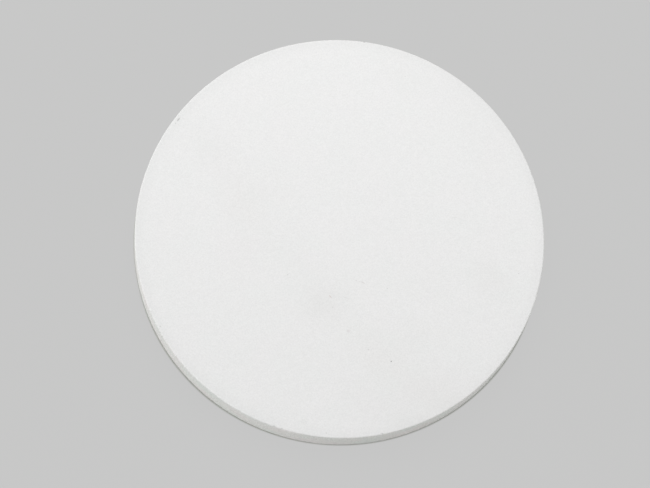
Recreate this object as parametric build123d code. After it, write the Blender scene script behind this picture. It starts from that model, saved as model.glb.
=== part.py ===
from build123d import *
import math
import os

# Sputtering target: one solid disc of white alumina ceramic, pressed, sintered and ground flat.
# It is bare, with no backing plate, hole, step or groove.
# Lengths are in millimetres and angles in degrees.
# The origin is the centre of the back face, and +Z points out of the face that is sputtered.
# A bearing is counted from +X towards +Y.

# Disc, a standard three-inch by quarter-inch planar target
target_diameter = 76.2
target_thickness = 6.35

# Edges as the grinder leaves them: the front one lapped round, the back one bevelled
front_edge_radius = 0.2
back_edge_bevel = 0.2

# Chips in the front edge: bearing, length along the rim, bite below the lapped edge
front_edge_chips = [
    (82.6, 0.45, 0.13),
    (-78.8, 0.50, 0.17),
    (-106.9, 0.45, 0.14),
    (-109.0, 0.50, 0.16),
]

# Chips in the back edge: bearing, length along the rim, bite below the bevel
back_edge_chips = [
    (-41.0, 0.60, 0.10),
]

# Gouges in the front face that run beside the rim: bearing, length, depth, distance in from the rim
rim_gouges = [
    (143.5, 0.85, 0.10, 0.74),
    (144.9, 0.30, 0.06, 0.77),
]

# Open pores in the front face: bearing, mouth diameter, and how far out as a share of the radius
pore_depth_share = 0.4
face_pores = [
    (-68.6, 0.28, 0.667),
    (-76.7, 0.20, 0.58),
    (-152.5, 0.22, 0.985),
    (-94.3, 0.20, 0.978),
]

target_radius = target_diameter / 2


def around(bearing, solid):
    """Turns a solid that was made in the XZ plane's +X half to its bearing."""
    return Rot(Z=bearing) * solid


def plain_disc():
    """Half section from the axis to the rim, turned once about the axis."""
    middle = Pos(target_radius / 2, target_thickness / 2)
    section = middle * Rectangle(target_radius, target_thickness)
    rim_corners = section.vertices().group_by(Axis.X)[-1].sort_by(Axis.Y)
    section = chamfer(rim_corners[0], back_edge_bevel)
    rim_corners = section.vertices().group_by(Axis.Y)[-1].sort_by(Axis.X)
    section = fillet(rim_corners[-1], front_edge_radius)
    return revolve(Plane.XZ * section, Axis.Z)


def scoop(length, bite):
    """Ball that leaves a shell-shaped scar this long and this deep, and how far out its centre is."""
    ball_radius = (length**2 / 4 + bite**2) / (2 * bite)
    return Sphere(ball_radius), ball_radius - bite


def edge_chip(bearing, length, bite, corner_z, edge_loss, outward_z):
    """Scoop out of a rim edge, on the line that halves the corner between face and wall.

    corner_z is the height of the sharp corner, edge_loss is what its lapping or bevel took off
    along that line, and outward_z is +1 at the front edge and -1 at the back.
    """
    ball, reach = scoop(length, bite)
    step_out = (reach - edge_loss) * math.sqrt(0.5)
    return around(bearing, Pos(target_radius + step_out, 0, corner_z + outward_z * step_out) * ball)


def rim_gouge(bearing, length, depth, inset):
    """Spindle lying in the front face, square to the radius: a circular segment turned on its chord."""
    chord = Line((-length / 2, 0), (length / 2, 0))
    bow = ThreePointArc((-length / 2, 0), (0, depth), (length / 2, 0))
    spindle = revolve(make_face([chord, bow]), Axis.X)
    place = Pos(target_radius - inset, 0, target_thickness) * Rot(Z=90)
    return around(bearing, place * spindle)


def face_pore(bearing, mouth, radius_share):
    """Rounded pit with a mouth of this diameter in the front face."""
    ball, reach = scoop(mouth, mouth * pore_depth_share)
    return around(bearing, Pos(target_radius * radius_share, 0, target_thickness + reach) * ball)


def target_disc():
    """The disc with every chip, gouge and pore taken out of it."""
    lapping_loss = front_edge_radius * (math.sqrt(2) - 1)
    bevel_loss = back_edge_bevel * math.sqrt(0.5)
    scars = []
    for bearing, length, bite in front_edge_chips:
        scars.append(edge_chip(bearing, length, bite, target_thickness, lapping_loss, 1))
    for bearing, length, bite in back_edge_chips:
        scars.append(edge_chip(bearing, length, bite, 0, bevel_loss, -1))
    for bearing, length, depth, inset in rim_gouges:
        scars.append(rim_gouge(bearing, length, depth, inset))
    for bearing, mouth, radius_share in face_pores:
        scars.append(face_pore(bearing, mouth, radius_share))
    disc = plain_disc()
    for scar in scars:
        disc = disc - scar
    return disc


os.makedirs("parts", exist_ok=True)
export_step(target_disc(), "parts/target_disc.step")
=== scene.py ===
import math

import bpy
import numpy as np
from bpy.props import FloatProperty, FloatVectorProperty, PointerProperty
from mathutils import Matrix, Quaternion, Vector


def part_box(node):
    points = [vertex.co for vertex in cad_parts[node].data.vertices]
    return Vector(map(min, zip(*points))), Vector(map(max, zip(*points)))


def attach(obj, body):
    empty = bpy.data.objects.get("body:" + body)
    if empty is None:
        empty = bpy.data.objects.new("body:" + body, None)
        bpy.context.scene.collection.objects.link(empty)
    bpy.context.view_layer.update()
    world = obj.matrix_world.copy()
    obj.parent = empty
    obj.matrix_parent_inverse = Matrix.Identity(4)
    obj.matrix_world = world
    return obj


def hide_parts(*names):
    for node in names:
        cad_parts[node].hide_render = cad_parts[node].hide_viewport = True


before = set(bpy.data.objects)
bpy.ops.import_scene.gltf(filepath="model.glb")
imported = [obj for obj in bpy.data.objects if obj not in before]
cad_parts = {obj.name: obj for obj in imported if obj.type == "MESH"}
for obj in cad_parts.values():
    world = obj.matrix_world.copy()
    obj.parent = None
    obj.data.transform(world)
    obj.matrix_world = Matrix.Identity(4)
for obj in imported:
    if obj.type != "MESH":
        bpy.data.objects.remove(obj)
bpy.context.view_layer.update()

bl_info = {
    "name": "Ceramic Sputtering Target",
    "version": (1, 0, 0),
    "blender": (4, 5, 0),
    "location": "View3D > Sidebar > Target",
    "description": "A ground alumina sputtering target, modelled over its solid",
    "category": "Add Mesh",
}

NODE = "target_disc"
MM = 0.001
LOW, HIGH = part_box(NODE)
RADIUS = HIGH.x
THICKNESS = HIGH.z - LOW.z

# Scars of the solid, in millimetres and degrees. A bearing is counted from +X towards +Y.
# Chips in the front edge: bearing, length along the rim, bite below the lapped edge
FRONT_EDGE_CHIPS = [
    (82.6, 0.45, 0.13),
    (-78.8, 0.50, 0.17),
    (-106.9, 0.45, 0.14),
    (-109.0, 0.50, 0.16),
]
# Chips in the back edge: bearing, length along the rim, bite below the bevel
BACK_EDGE_CHIPS = [
    (-41.0, 0.60, 0.10),
]
# Gouges in the front face beside the rim: bearing, length, depth, distance in from the rim
RIM_GOUGES = [
    (143.5, 0.85, 0.10, 0.74),
    (144.9, 0.30, 0.06, 0.77),
]
# Depth of an open pore, as a share of its mouth's diameter
PORE_DEPTH_SHARE = 0.4
# Open pores in the front face: bearing, mouth diameter, how far out as a share of the radius
FACE_PORES = [
    (-68.6, 0.28, 0.667),
    (-76.7, 0.20, 0.58),
    (-152.5, 0.22, 0.985),
    (-94.3, 0.20, 0.978),
]

# Marks on the front face, in millimetres and degrees: x, y, half length, half width, turn, cover, colour
MARKS = [
    (9.21, -23.62, 0.125, 0.125, 0, 0.84, "#141411"),
    (5.04, -21.45, 0.12, 0.12, 0, 0.12, "#4A4A3C"),
    (2.90, -8.41, 0.19, 0.07, 0, 0.34, "#5A3A38"),
    (3.58, -8.60, 0.36, 0.05, -16, 0.20, "#7A5450"),
    (4.16, -8.76, 0.58, 0.065, -26, 0.30, "#6A3434"),
    (-1.94, -11.44, 0.42, 0.10, -48, 0.27, "#983E10"),
    (1.02, -11.68, 0.95, 0.07, -23, 0.12, "#7A6A62"),
    (-9.79, -7.39, 0.14, 0.10, -25, 0.30, "#3E5244"),
    (33.19, -6.83, 0.11, 0.10, 0, 0.34, "#45483E"),
    (21.46, 3.80, 0.62, 0.09, 3, 0.15, "#8C8F86"),
    (1.40, -17.94, 0.48, 0.42, 20, 0.12, "#9A7884"),
    (-1.46, -13.50, 0.09, 0.09, 0, 0.40, "#6E7068"),
    (12.49, 31.10, 0.10, 0.10, 0, 0.36, "#6A6A60"),
    (8.63, -9.81, 0.11, 0.08, 80, 0.42, "#5C5C50"),
    (-1.05, -9.95, 0.16, 0.12, 30, 0.16, "#6A5A4A"),
    (-6.97, -35.04, 0.85, 0.65, 0, 0.05, "#8E8A84"),
    (-30.08, 22.23, 0.52, 0.24, 53, 0.19, "#5E625A"),
    (-30.56, 21.48, 0.18, 0.12, 53, 0.22, "#7A7E74"),
    (-33.33, -17.30, 0.16, 0.16, 0, 0.18, "#7A8880"),
    (-2.84, -37.12, 0.16, 0.16, 0, 0.20, "#80857C"),
    # Painted shade: a near-black mark over the scoop of the front edge chip at bearing 82.6
    (4.85, 37.78, 0.24, 0.11, -7, 0.95, "#161614"),
]

# Soft stains of the front face, in the same order
CLOUDS = [
    (-23.6, 16.3, 11.0, 6.0, -55, 0.022, "#908884"),
    (-18.0, 6.3, 9.0, 6.5, -55, 0.027, "#9C8E70"),
    (-17.6, -2.8, 8.0, 6.5, 0, 0.012, "#B08080"),
    (-9.3, -2.7, 9.5, 7.5, -50, 0.010, "#808878"),
    (-3.0, -12.6, 6.6, 5.4, 37, 0.037, "#8C8A78"),
    (-4.0, -12.0, 14.0, 9.0, -45, 0.008, "#8C8A80"),
    (8.2, -23.5, 13.0, 6.5, -45, 0.027, "#9A9A70"),
    (17.8, -30.0, 9.0, 6.5, -45, 0.024, "#A88870"),
    (12.7, -34.5, 6.5, 3.5, -20, 0.021, "#8C8A84"),
    (14.8, -31.7, 20.0, 7.0, 25, 0.020, "#94908A"),
    (27.0, -7.2, 6.5, 5.0, -55, 0.024, "#8A9070"),
    (29.2, -11.0, 8.0, 4.4, -55, 0.011, "#8C8C88"),
    (13.3, -18.7, 6.5, 5.5, 20, 0.016, "#8C9A70"),
    (16.3, -8.3, 6.0, 5.5, 0, 0.007, "#909060"),
    (24.7, 25.5, 16.0, 8.0, -44, 0.020, "#948C86"),
    (29.3, 15.8, 10.0, 7.5, -60, 0.012, "#A08888"),
    (-12.0, 9.7, 8.0, 6.0, -50, 0.010, "#8C9070"),
    (12.6, 31.3, 9.0, 6.0, -20, 0.016, "#8C8C80"),
    (4.4, -31.0, 8.0, 6.0, 0, 0.015, "#988080"),
]

# Stains on the wall: bearing, height, half length, half height, cover, colour
WALL_STAINS = [
    (-120.5, 3.2, 1.8, 0.8, 0.10, "#6E6A66"),
    (-64.0, 2.0, 6.0, 1.6, 0.05, "#7C7A60"),
]

# Share of a white surface's light that comes evenly from the whole room
ROOM_SHARE = 0.65

# Soft lamps: name, bearing, elevation, distance and width in metres, share of the face's light
SOFTBOXES = [
    ("top_softbox", 95, 60, 0.345, 0.30, 0.395),
    ("left_softbox", 183, 4, 1.40, 0.20, 0.0172),
]

# Point of the face that the camera looks at, in millimetres
CAMERA_AIM = (-2.835, -1.458)


def linear(hex_colour):
    """An sRGB hex colour as linear red, green, blue and a full alpha."""
    values = [int(hex_colour[i:i + 2], 16) / 255 for i in (1, 3, 5)]
    curve = [v / 12.92 if v <= 0.04045 else ((v + 0.055) / 1.055) ** 2.4 for v in values]
    return (*curve, 1.0)


class TargetShape(bpy.types.PropertyGroup):
    """Sizes of the ceramic disc that the solid's box doesn't give."""

    front_edge_radius: FloatProperty(
        name="Front Edge Radius", description="Radius that lapping leaves on the front edge",
        default=0.2 * MM, min=0.02 * MM, max=1.0 * MM, subtype="DISTANCE", unit="LENGTH", precision=5)
    back_edge_bevel: FloatProperty(
        name="Back Edge Bevel", description="Width and height of the bevel on the back edge",
        default=0.2 * MM, min=0.02 * MM, max=1.5 * MM, subtype="DISTANCE", unit="LENGTH", precision=5)
    edge_wear: FloatProperty(
        name="Edge Wear", description="How deep the lapped edge wanders in from its true radius",
        default=0.02 * MM, min=0.0, max=0.05 * MM, subtype="DISTANCE", unit="LENGTH", precision=6)


class TargetFinish(bpy.types.PropertyGroup):
    """Colours and grain of the ceramic."""

    face_pink: FloatVectorProperty(
        name="Face Pink", description="Colour of the lapped face where it leans to pink",
        default=linear("#EEEDED"), size=4, min=0.0, max=1.0, subtype="COLOR")
    face_green: FloatVectorProperty(
        name="Face Green", description="Colour of the lapped face where it leans to green",
        default=linear("#ECEDEC"), size=4, min=0.0, max=1.0, subtype="COLOR")
    wall_pink: FloatVectorProperty(
        name="Wall Pink", description="Colour of the ground wall where it leans to pink",
        default=linear("#EDEAE9"), size=4, min=0.0, max=1.0, subtype="COLOR")
    wall_green: FloatVectorProperty(
        name="Wall Green", description="Colour of the ground wall where it leans to green",
        default=linear("#E8EBE8"), size=4, min=0.0, max=1.0, subtype="COLOR")
    rim_grey: FloatVectorProperty(
        name="Rim Grey", description="What handling leaves on the face beside its edge",
        default=linear("#9A9A98"), size=4, min=0.0, max=1.0, subtype="COLOR")
    grain_size: FloatProperty(
        name="Grain Size", description="Width of the matt speckle that grinding leaves",
        default=0.24 * MM, min=0.05 * MM, max=2.0 * MM, subtype="DISTANCE", unit="LENGTH", precision=5)


class TargetStage(bpy.types.PropertyGroup):
    """Floor, light and camera."""

    floor_colour: FloatVectorProperty(
        name="Floor Colour", description="Colour of the floor and the backdrop",
        default=linear("#C8C8C8"), size=4, min=0.0, max=1.0, subtype="COLOR")
    shade_colour: FloatVectorProperty(
        name="Shade Colour", description="Colour of the floor's paper where the disc shades it",
        default=linear("#C6C8C2"), size=4, min=0.0, max=1.0, subtype="COLOR")
    camera_distance: FloatProperty(
        name="Camera Distance", description="From the camera to the point that it looks at",
        default=0.6853, min=0.1, max=10.0, subtype="DISTANCE", unit="LENGTH")
    camera_lens: FloatProperty(
        name="Camera Lens", description="Focal length on a 36 mm wide sensor",
        default=204.58, min=10.0, max=500.0, subtype="DISTANCE_CAMERA", unit="CAMERA")
    camera_elevation: FloatProperty(
        name="Camera Elevation", description="Height of the camera above the horizon",
        default=math.radians(75.80), min=0.0, max=math.radians(90), subtype="ANGLE", unit="ROTATION")
    camera_azimuth: FloatProperty(
        name="Camera Azimuth", description="Turn of the camera about the disc, from in front to the right",
        default=math.radians(-15.01), subtype="ANGLE", unit="ROTATION")
    camera_roll: FloatProperty(
        name="Camera Roll", description="Turn of the camera about its own line of sight",
        default=math.radians(15.01), subtype="ANGLE", unit="ROTATION")


def stations(low, high, fine_step, coarse_every, spots):
    """Places from low to high on a fine ruler: every coarse_every-th mark, and all marks near a spot.

    A spot is (place, reach). The mark k stands at low + k (high - low) / n, with n whole steps.
    """
    count = round((high - low) / fine_step)
    marks = np.arange(count + 1)
    places = low + marks * (high - low) / count
    spot_places = np.array([spot[0] for spot in spots])
    reaches = np.array([spot[1] for spot in spots])
    near = (np.abs(places[:, None] - spot_places[None, :]) < reaches[None, :]).any(axis=1)
    keep = (marks % coarse_every == 0) | near
    keep[-1] = True
    return places[keep]


def scar_bearings():
    """Bearing in radians of each scar, with how far to each side of it the mesh is fine."""
    spots = [(bearing, length / 2, 1.0) for bearing, length, bite in FRONT_EDGE_CHIPS + BACK_EDGE_CHIPS]
    spots += [(bearing, length / 2, 1.0) for bearing, length, depth, inset in RIM_GOUGES]
    spots += [(bearing, mouth / 2, share) for bearing, mouth, share in FACE_PORES]
    margin_mm = 0.12
    full_turn = 2 * math.pi
    return [
        (math.radians(bearing) % full_turn, (half + margin_mm) * MM / (RADIUS * share))
        for bearing, half, share in spots
    ]


def disc_profile(shape):
    """Half section from the front pole to the back pole, as radius and height arrays.

    The front face is flat to the lapped edge, a quarter circle of the edge radius. The wall is
    straight down to the bevel, a 45 degree line, and the back face is flat. worn is 1 half way
    along the lapped edge and falls to 0 at both its ends.
    """
    fine = 0.06 * MM
    gouge_band = 0.9 * MM
    edge_band = 0.35 * MM
    margin_mm = 0.06
    edge_points = 8
    bevel_points = 6
    edge = shape.front_edge_radius
    bevel = shape.back_edge_bevel
    face_rim = RADIUS - edge
    wall_top = THICKNESS - edge
    back_rim = RADIUS - bevel
    face_spots = [(share * RADIUS, (mouth / 2 + margin_mm) * MM) for bearing, mouth, share in FACE_PORES]
    face_spots.append((face_rim, gouge_band))
    wall_spots = [(wall_top, edge_band), (bevel, edge_band)]
    face = stations(0, face_rim, fine, coarse_every=36, spots=face_spots)[1:]
    turn = np.linspace(0, np.pi / 2, edge_points)[1:]
    wall = stations(bevel, wall_top, fine, coarse_every=16, spots=wall_spots)[::-1][1:]
    slope = np.linspace(0, bevel, bevel_points)[1:]
    back = stations(0, back_rim, fine, coarse_every=60, spots=[(back_rim, edge_band)])[::-1][1:-1]
    radius = np.concatenate([
        face, face_rim + edge * np.sin(turn), np.full(len(wall), RADIUS), RADIUS - slope, back])
    height = np.concatenate([
        np.full(len(face), THICKNESS), wall_top + edge * np.cos(turn), wall, bevel - slope,
        np.zeros(len(back))])
    worn = np.zeros(len(radius))
    worn[len(face):len(face) + len(turn)] = np.sin(2 * turn)
    return radius, height, worn


def edge_wander(bearing):
    """Slow wander of the lapped edge from 0 to 1: a sum of sines whose waves fit the rim whole times.

    Sums from -7 to 7 fill the span from 0 to 1, and the few beyond are held at its ends.
    """
    sines = 24
    fewest_waves, most_waves = 30, 280
    full_span = 14
    draw = np.random.default_rng(31)
    waves = draw.integers(fewest_waves, most_waves, sines)
    starts = draw.uniform(0, 2 * np.pi, sines)
    total = np.sin(bearing[:, None] * waves[None, :] + starts[None, :]).sum(axis=1)
    return np.clip(0.5 + total / full_span, 0, 1)


def press(points, centre, along, across, inward, half):
    """Presses an ellipsoid into a surface.

    With q the point in the ellipsoid's own axes, divided by its half sizes, a point inside it moves
    along inward to the far side, where q_inward = sqrt(1 - q_along^2 - q_across^2).
    """
    axes = np.stack([along, across, inward])
    q = (points - centre) @ axes.T / half
    flat = q[:, 0] ** 2 + q[:, 1] ** 2
    far_side = np.sqrt(np.clip(1 - flat, 0, None))
    inside = (flat < 1) & (np.abs(q[:, 2]) < far_side)
    step = np.where(inside, (far_side - q[:, 2]) * half[2], 0)
    return points + step[:, None] * inward


def scoop(length, bite):
    """Radius of the ball that leaves a scar this long and deep, and how far its centre stands off."""
    ball = (length ** 2 / 4 + bite ** 2) / (2 * bite)
    return ball, ball - bite


def scar_surface(points, shape):
    """Takes every chip, gouge and pore out of the disc's surface."""
    up = np.array([0.0, 0.0, 1.0])

    def axes_at(bearing):
        turn = math.radians(bearing)
        outward = np.array([math.cos(turn), math.sin(turn), 0.0])
        return outward, np.cross(up, outward)

    lapping_loss = shape.front_edge_radius * (math.sqrt(2) - 1)
    bevel_loss = shape.back_edge_bevel * math.sqrt(0.5)
    edges = [(chip, THICKNESS, lapping_loss, 1) for chip in FRONT_EDGE_CHIPS]
    edges += [(chip, 0.0, bevel_loss, -1) for chip in BACK_EDGE_CHIPS]
    for (bearing, length, bite), corner_height, edge_loss, side in edges:
        outward, along = axes_at(bearing)
        ball, reach = scoop(length * MM, bite * MM)
        diagonal = (outward + side * up) * math.sqrt(0.5)
        centre = outward * RADIUS + up * corner_height + diagonal * (reach - edge_loss)
        points = press(points, centre, along, np.cross(diagonal, along), -diagonal, np.full(3, ball))
    for bearing, length, depth, inset in RIM_GOUGES:
        outward, along = axes_at(bearing)
        centre = outward * (RADIUS - inset * MM) + up * THICKNESS
        half = np.array([length / 2, depth, depth]) * MM
        points = press(points, centre, along, outward, -up, half)
    for bearing, mouth, share in FACE_PORES:
        outward, along = axes_at(bearing)
        ball, reach = scoop(mouth * MM, mouth * PORE_DEPTH_SHARE * MM)
        centre = outward * RADIUS * share + up * (THICKNESS + reach)
        points = press(points, centre, along, outward, -up, np.full(3, ball))
    return points


def disc_mesh(shape):
    """Surface of revolution, closed at both poles.

    A point is (r cos b, r sin b, z), with r and z from the profile and b the bearing.
    """
    fine_turn = math.radians(0.06)
    sharp_fold = math.radians(32)
    radius, height, worn = disc_profile(shape)
    bearing = stations(0, 2 * math.pi, fine_turn, coarse_every=10, spots=scar_bearings())[:-1]
    rows, columns = len(radius), len(bearing)
    inset = worn[:, None] * edge_wander(bearing)[None, :] * shape.edge_wear * math.sqrt(0.5)
    ring = radius[:, None] - inset
    level = height[:, None] - inset
    points = np.stack([ring * np.cos(bearing), ring * np.sin(bearing), level], axis=-1).reshape(-1, 3)
    points = scar_surface(points, shape)
    poles = np.array([[0.0, 0.0, THICKNESS], [0.0, 0.0, 0.0]])
    front_pole, back_pole = len(points), len(points) + 1
    this_row = np.arange(rows - 1)[:, None] * columns
    column = np.arange(columns)
    following = (column + 1) % columns
    quads = np.stack([
        this_row + column, this_row + columns + column, this_row + columns + following,
        this_row + following], axis=-1).reshape(-1, 4)
    last_row = (rows - 1) * columns
    front_fan = np.stack([np.full(columns, front_pole), column, following], axis=-1)
    back_fan = np.stack([last_row + column, np.full(columns, back_pole), last_row + following], axis=-1)
    mesh = bpy.data.meshes.new("alumina_disc")
    mesh.from_pydata(
        np.concatenate([points, poles]).tolist(), [],
        quads.tolist() + front_fan.tolist() + back_fan.tolist())
    if mesh.validate():
        raise RuntimeError("the disc's mesh had faults")
    mesh.shade_smooth()
    mesh.set_sharp_from_angle(angle=sharp_fold)
    return mesh


def add(tree, kind, inputs=None, **settings):
    """Adds one node, with its settings, and each input set to a value or linked from a socket."""
    node = tree.nodes.new(kind)
    for name, value in settings.items():
        setattr(node, name, value)
    for name, value in (inputs or {}).items():
        if isinstance(value, bpy.types.NodeSocket):
            tree.links.new(value, node.inputs[name])
        else:
            node.inputs[name].default_value = value
    return node


def new_material(name):
    """An empty node material and its tree."""
    material = bpy.data.materials.new(name)
    material.use_nodes = True
    material.node_tree.nodes.clear()
    return material, material.node_tree


def stain_and_painted_shade(tree, colour, place, centre, half, turn, cover, tint, core):
    """Lays an ellipsoid of colour over a colour: full cover within core of its reach, none at its rim.

    centre and half are in millimetres, and turn is in degrees about +Z. It lays stains and specks, and
    the painted shade in a chip's scoop.
    """
    oval = add(tree, "ShaderNodeMapping", {
        "Vector": place,
        "Location": [value * MM for value in centre],
        "Rotation": (0, 0, math.radians(turn)),
        "Scale": [value * MM for value in half],
    }, vector_type="TEXTURE")
    reach = add(tree, "ShaderNodeVectorMath", {0: oval.outputs[0]}, operation="LENGTH")
    share = add(tree, "ShaderNodeMapRange", {
        "Value": reach.outputs["Value"], "From Min": core, "From Max": 1.0, "To Min": cover, "To Max": 0.0,
    }, interpolation_type="SMOOTHSTEP")
    mixed = add(tree, "ShaderNodeMix", {0: share.outputs[0], 6: colour, 7: linear(tint)}, data_type="RGBA")
    return mixed.outputs[2]


def disc_zones(tree, place):
    """Two shares by distance from the axis: 1 on the wall, and a little grey towards the face's rim."""
    edge_start, edge_end = 0.12 * MM, 0.02 * MM
    grey_start, grey_end = 2.6 * MM, 0.1 * MM
    most_grey = 0.042
    level = add(tree, "ShaderNodeVectorMath", {0: place, 1: (1, 1, 0)}, operation="MULTIPLY")
    out = add(tree, "ShaderNodeVectorMath", {0: level.outputs[0]}, operation="LENGTH")
    on_wall = add(tree, "ShaderNodeMapRange", {
        "Value": out.outputs["Value"], "From Min": RADIUS - edge_start, "From Max": RADIUS - edge_end,
    }, interpolation_type="SMOOTHSTEP")
    at_rim = add(tree, "ShaderNodeMapRange", {
        "Value": out.outputs["Value"], "From Min": RADIUS - grey_start, "From Max": RADIUS - grey_end,
        "To Max": most_grey,
    }, interpolation_type="SMOOTHSTEP")
    return on_wall.outputs[0], at_rim.outputs[0]


def face_colour(tree, finish, place, lean, at_rim):
    """Colour of the lapped face: it hardly leans, is greyed at its rim, and bears wide soft stains."""
    least_lean, most_lean = 0.35, 0.65
    face_lean = add(tree, "ShaderNodeMapRange", {
        "Value": lean, "From Min": least_lean, "From Max": most_lean,
        "To Min": least_lean, "To Max": most_lean})
    colour = add(tree, "ShaderNodeMix", {
        0: face_lean.outputs[0], 6: tuple(finish.face_pink), 7: tuple(finish.face_green),
    }, data_type="RGBA").outputs[2]
    colour = add(tree, "ShaderNodeMix", {
        0: at_rim, 6: colour, 7: tuple(finish.rim_grey)}, data_type="RGBA").outputs[2]

    # Stains have ragged rims, so their place wanders by about a millimetre.
    ragged_patch = 3 * MM
    swing = 5 * MM
    stain_height = 4.0
    ragged = add(tree, "ShaderNodeTexNoise", {
        "Vector": place, "Scale": 1 / ragged_patch, "Detail": 3.0, "Roughness": 0.6})
    centred = add(tree, "ShaderNodeVectorMath", {0: ragged.outputs["Color"], 1: (0.5, 0.5, 0.5)},
                  operation="SUBTRACT")
    shift = add(tree, "ShaderNodeVectorMath", {0: centred.outputs[0], 1: (swing, swing, 0.0)},
                operation="MULTIPLY")
    wandering = add(tree, "ShaderNodeVectorMath", {0: place, 1: shift.outputs[0]}, operation="ADD")
    for x, y, length, width, turn, cover, tint in CLOUDS:
        centre = (x, y, THICKNESS / MM)
        half = (length, width, stain_height)
        colour = stain_and_painted_shade(tree, colour, wandering.outputs[0], centre, half, turn, cover, tint, core=0.0)
    return colour


def wall_colour(tree, finish, place, lean):
    """Colour of the ground wall: it leans plainly to pink or green, and bears two faint stains."""
    least_lean, most_lean = 0.35, 0.65
    stain_depth = 1.0
    wall_lean = add(tree, "ShaderNodeMapRange", {
        "Value": lean, "From Min": least_lean, "From Max": most_lean})
    colour = add(tree, "ShaderNodeMix", {
        0: wall_lean.outputs[0], 6: tuple(finish.wall_pink), 7: tuple(finish.wall_green),
    }, data_type="RGBA").outputs[2]
    for bearing, height, length, rise, cover, tint in WALL_STAINS:
        turn = math.radians(bearing)
        centre = (RADIUS / MM * math.cos(turn), RADIUS / MM * math.sin(turn), height)
        half = (length, stain_depth, rise)
        colour = stain_and_painted_shade(tree, colour, place, centre, half, bearing + 90, cover, tint, core=0.2)
    return colour


def grinding(tree, finish, place, on_wall):
    """What grinding leaves, as sockets: a tone for the colour, the roughness and the bumped normal."""
    # Grinding grit leaves a speckle of about 0.03 mm. It is drawn as coarse as it needs to show. The
    # wall isn't lapped, so its speckle is stronger, and drawn out along its height.
    face_strength, wall_strength = 0.25, 0.65
    height_share = 0.4
    drawn_out = add(tree, "ShaderNodeVectorMath", {0: place, 1: (1, 1, height_share)}, operation="MULTIPLY")
    grain = add(tree, "ShaderNodeTexNoise", {
        "Vector": drawn_out.outputs[0], "Scale": 1 / finish.grain_size, "Detail": 2.0,
        "Roughness": 0.7}).outputs["Fac"]
    strength = add(tree, "ShaderNodeMapRange", {
        "Value": on_wall, "To Min": face_strength, "To Max": wall_strength})
    swing = add(tree, "ShaderNodeMath", {0: grain, 1: 0.5}, operation="SUBTRACT")
    tone = add(tree, "ShaderNodeMath", {0: swing.outputs[0], 1: strength.outputs[0], 2: 1.0},
               operation="MULTIPLY_ADD")
    roughness = add(tree, "ShaderNodeMapRange", {
        "Value": grain, "From Min": 0.3, "From Max": 0.7, "To Min": 0.56, "To Max": 0.66})

    # The wheel runs round the wall, so its lines are 0.12 mm apart in height and long round the rim.
    line_length, line_height = 5 * MM, 0.12 * MM
    lines_place = add(tree, "ShaderNodeMapping", {
        "Vector": place, "Scale": (1 / line_length, 1 / line_length, 1 / line_height)})
    lines = add(tree, "ShaderNodeTexNoise", {
        "Vector": lines_place.outputs[0], "Scale": 1.0, "Detail": 2.0, "Roughness": 0.6})
    relief = add(tree, "ShaderNodeMath", {0: lines.outputs["Fac"], 1: 0.5, 2: grain},
                 operation="MULTIPLY_ADD")
    bump = add(tree, "ShaderNodeBump", {
        "Strength": 0.35, "Distance": 0.02 * MM, "Height": relief.outputs[0]})
    return tone.outputs[0], roughness.outputs[0], bump.outputs[0]


def sintered_alumina(finish):
    """Sintered alumina, ground and lapped: a matt white that scatters light a little way in.

    The eye gets an even white face with no gloss, and a fine speckle from the grinding grit. The
    ground wall is coarser and a little greener or pinker in turns, and handling has greyed the face
    a little near its edge. Old stains and a few dark specks lie over it, and the pores are darker. A
    near-black mark in the chip on the top edge is painted shade.
    """
    material, tree = new_material("sintered_alumina")
    place = add(tree, "ShaderNodeTexCoord").outputs["Object"]
    on_wall, at_rim = disc_zones(tree, place)

    # The body leans to pink or green in patches of about 5 mm.
    lean_patch = 5 * MM
    lean = add(tree, "ShaderNodeTexNoise", {
        "Vector": place, "Scale": 1 / lean_patch, "Detail": 1.0, "Roughness": 0.5}).outputs["Fac"]
    face = face_colour(tree, finish, place, lean, at_rim)
    wall = wall_colour(tree, finish, place, lean)
    colour = add(tree, "ShaderNodeMix", {0: on_wall, 6: face, 7: wall}, data_type="RGBA").outputs[2]
    # The marks are stains and specks, and the last is painted shade in the chip on the top edge.
    mark_height = 0.4
    for x, y, length, width, turn, cover, tint in MARKS:
        centre = (x, y, THICKNESS / MM)
        half = (length, width, mark_height)
        colour = stain_and_painted_shade(tree, colour, place, centre, half, turn, cover, tint, core=0.45)

    tone, roughness, normal = grinding(tree, finish, place, on_wall)
    speckled = add(tree, "ShaderNodeVectorMath", {0: colour, "Scale": tone}, operation="SCALE")
    surface = add(tree, "ShaderNodeBsdfPrincipled", {
        "Base Color": speckled.outputs[0],
        "Roughness": roughness,
        "IOR": 1.77,
        "Diffuse Roughness": 0.4,
        "Subsurface Weight": 0.15,
        "Subsurface Radius": (1.0, 1.0, 1.0),
        "Subsurface Scale": 0.4 * MM,
        "Normal": normal,
    })
    add(tree, "ShaderNodeOutputMaterial", {"Surface": surface.outputs[0]})
    return material


def seen(tree):
    """1 where the camera sees a surface, straight, mirrored or through glass, and 0 where light lands."""
    rays = add(tree, "ShaderNodeLightPath").outputs
    either = add(tree, "ShaderNodeMath", {0: rays["Is Camera Ray"], 1: rays["Is Glossy Ray"]},
                 operation="MAXIMUM")
    any_way = add(tree, "ShaderNodeMath", {0: either.outputs[0], 1: rays["Is Transmission Ray"]},
                  operation="MAXIMUM")
    return any_way.outputs[0]


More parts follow.
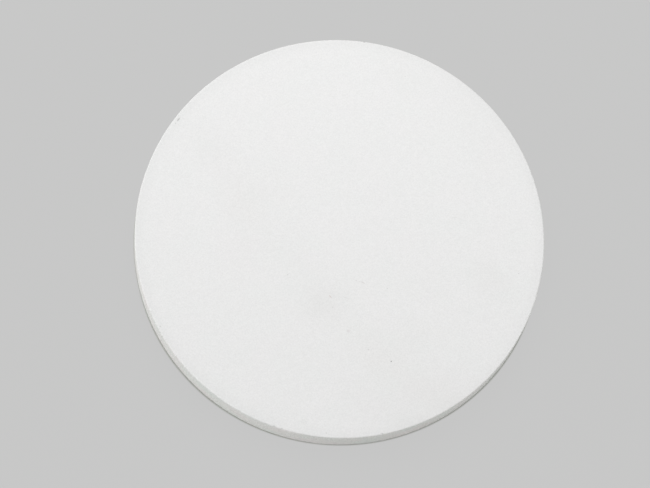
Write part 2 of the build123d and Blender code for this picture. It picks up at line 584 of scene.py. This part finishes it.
def contact_shadow(tree, place, x, y, wider, deeper):
    """How much of the floor's even grey shows: a little inside an oval, nearly all past its soft rim.

    The oval's centre is (x, y), and its half sizes are the disc's radius with wider added along X and
    deeper along Y, all in millimetres.
    """
    soft_rim = 0.34 * MM
    inside, past = 0.06, 0.94
    oval = add(tree, "ShaderNodeMapping", {
        "Vector": place,
        "Location": (x * MM, y * MM, 0.0),
        "Scale": (RADIUS + wider * MM, RADIUS + deeper * MM, 1.0),
    }, vector_type="TEXTURE")
    reach = add(tree, "ShaderNodeVectorMath", {0: oval.outputs[0]}, operation="LENGTH")
    even = add(tree, "ShaderNodeMapRange", {
        "Value": reach.outputs["Value"], "From Min": 1.0, "From Max": 1.0 + soft_rim / RADIUS,
        "To Min": inside, "To Max": past}, interpolation_type="SMOOTHSTEP")
    return even.outputs[0]


def studio_grey(stage):
    """Matt studio paper: the eye gets one even grey, with the disc's shadow tight against its foot.

    Past the contact the camera sees the paper's own colour, with a trace of its shading.
    """
    material, tree = new_material("studio_grey")
    place = add(tree, "ShaderNodeTexCoord").outputs["Object"]
    # A thin shadow runs all round the foot. An oval set to the front widens it at both front quarters.
    all_round = contact_shadow(tree, place, x=0.0, y=0.0, wider=-0.05, deeper=-0.05)
    front = contact_shadow(tree, place, x=-0.03, y=-1.28, wider=-0.33, deeper=-1.31)
    even = add(tree, "ShaderNodeMath", {0: all_round, 1: front}, operation="MINIMUM")
    share = add(tree, "ShaderNodeMath", {0: seen(tree), 1: even.outputs[0]}, operation="MULTIPLY")
    paper = add(tree, "ShaderNodeBsdfDiffuse", {"Color": tuple(stage.shade_colour)})
    plain = add(tree, "ShaderNodeEmission", {"Color": tuple(stage.floor_colour), "Strength": 1.0})
    surface = add(tree, "ShaderNodeMixShader", {
        0: share.outputs[0], 1: paper.outputs[0], 2: plain.outputs[0]})
    add(tree, "ShaderNodeOutputMaterial", {"Surface": surface.outputs[0]})
    return material


def floor_mesh():
    """Flat square sheet (x, y, 0), a grid of two parameters, three metres across."""
    half = 1.5
    cells = 4
    row = cells + 1
    steps = np.linspace(-half, half, row)
    x, y = np.meshgrid(steps, steps)
    points = np.stack([x, y, np.zeros_like(x)], axis=-1).reshape(-1, 3)
    cell = (np.arange(cells)[:, None] * row + np.arange(cells)[None, :]).ravel()
    faces = np.stack([cell, cell + 1, cell + row + 1, cell + row], axis=-1)
    mesh = bpy.data.meshes.new("studio_floor")
    mesh.from_pydata(points.tolist(), [], faces.tolist())
    return mesh


def light_world(stage):
    """Even light from all round the room, with the floor's colour seen behind the object."""
    world = bpy.data.worlds.new("studio_room")
    world.use_nodes = True
    tree = world.node_tree
    tree.nodes.clear()
    room = add(tree, "ShaderNodeBackground", {"Color": (1, 1, 1, 1), "Strength": ROOM_SHARE})
    backdrop = add(tree, "ShaderNodeBackground", {"Color": tuple(stage.floor_colour), "Strength": 1.0})
    both = add(tree, "ShaderNodeMixShader", {0: seen(tree), 1: room.outputs[0], 2: backdrop.outputs[0]})
    add(tree, "ShaderNodeOutputWorld", {"Surface": both.outputs[0]})
    bpy.context.scene.world = world


def add_softbox(name, bearing, elevation, distance, width, share):
    """Square soft lamp aimed at the disc. It gives the front face share of a white surface's light.

    A lamp of power p lights a level face by p sin(elevation) / (pi distance^2), and light of pi
    shows a colour as it is written.
    """
    turn, rise = math.radians(bearing), math.radians(elevation)
    data = bpy.data.lights.new(name, "AREA")
    data.shape = "SQUARE"
    data.size = width
    data.energy = share * math.pi ** 2 * distance ** 2 / math.sin(rise)
    lamp = bpy.data.objects.new(name, data)
    away = Vector((math.cos(turn) * math.cos(rise), math.sin(turn) * math.cos(rise), math.sin(rise)))
    lamp.location = Vector((0, 0, THICKNESS)) + away * distance
    lamp.rotation_mode = "QUATERNION"
    lamp.rotation_quaternion = (-away).to_track_quat("-Z", "Y")
    bpy.context.scene.collection.objects.link(lamp)


def add_camera(stage):
    """Camera at the photograph's angle, rolled about its line of sight, aimed just beside the centre."""
    data = bpy.data.cameras.new("view")
    data.lens = stage.camera_lens
    data.sensor_width = 36.0
    data.clip_start = 0.01
    data.clip_end = 20.0
    camera = bpy.data.objects.new("view", data)
    rise, turn = stage.camera_elevation, stage.camera_azimuth
    back = Vector((math.sin(turn) * math.cos(rise), -math.cos(turn) * math.cos(rise), math.sin(rise)))
    aim = Vector((CAMERA_AIM[0] * MM, CAMERA_AIM[1] * MM, THICKNESS))
    camera.location = aim + back * stage.camera_distance
    camera.rotation_mode = "QUATERNION"
    upright = (-back).to_track_quat("-Z", "Y")
    camera.rotation_quaternion = upright @ Quaternion((0, 0, 1), stage.camera_roll)
    bpy.context.scene.collection.objects.link(camera)
    bpy.context.scene.camera = camera


class TARGET_OT_disc(bpy.types.Operator):
    """Model the ground ceramic disc, with its edges, chips and pores, in place of the solid"""

    bl_idname = "target.disc"
    bl_label = "Ceramic Disc"

    def execute(self, context):
        mesh = disc_mesh(context.scene.target_shape)
        mesh.materials.append(sintered_alumina(context.scene.target_finish))
        disc = bpy.data.objects.new("alumina_disc", mesh)
        context.scene.collection.objects.link(disc)
        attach(disc, "root")
        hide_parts(NODE)
        return {"FINISHED"}


class TARGET_OT_stage(bpy.types.Operator):
    """Lay the floor, light it softly from above and set the camera at the photograph's angle"""

    bl_idname = "target.stage"
    bl_label = "Studio Stage"

    def execute(self, context):
        stage = context.scene.target_stage
        mesh = floor_mesh()
        mesh.materials.append(studio_grey(stage))
        floor = bpy.data.objects.new("studio_floor", mesh)
        context.scene.collection.objects.link(floor)
        light_world(stage)
        for name, bearing, elevation, distance, width, share in SOFTBOXES:
            add_softbox(name, bearing, elevation, distance, width, share)
        add_camera(stage)
        context.scene.view_settings.view_transform = "Standard"
        return {"FINISHED"}


class TARGET_PT_panel(bpy.types.Panel):
    """Sizes, finish and stage of the sputtering target"""

    bl_idname = "TARGET_PT_panel"
    bl_label = "Sputtering Target"
    bl_space_type = "VIEW_3D"
    bl_region_type = "UI"
    bl_category = "Target"

    def draw(self, context):
        layout = self.layout
        for group in (context.scene.target_shape, context.scene.target_finish, context.scene.target_stage):
            box = layout.box()
            for name in group.__annotations__:
                box.prop(group, name)
        layout.operator(TARGET_OT_disc.bl_idname)
        layout.operator(TARGET_OT_stage.bl_idname)


CLASSES = (TargetShape, TargetFinish, TargetStage, TARGET_OT_disc, TARGET_OT_stage, TARGET_PT_panel)


def register():
    for cls in CLASSES:
        bpy.utils.register_class(cls)
    bpy.types.Scene.target_shape = PointerProperty(type=TargetShape)
    bpy.types.Scene.target_finish = PointerProperty(type=TargetFinish)
    bpy.types.Scene.target_stage = PointerProperty(type=TargetStage)


def unregister():
    del bpy.types.Scene.target_stage
    del bpy.types.Scene.target_finish
    del bpy.types.Scene.target_shape
    for cls in reversed(CLASSES):
        bpy.utils.unregister_class(cls)


def main():
    register()
    bpy.ops.target.disc()
    bpy.ops.target.stage()


if __name__ == "__main__":
    main()
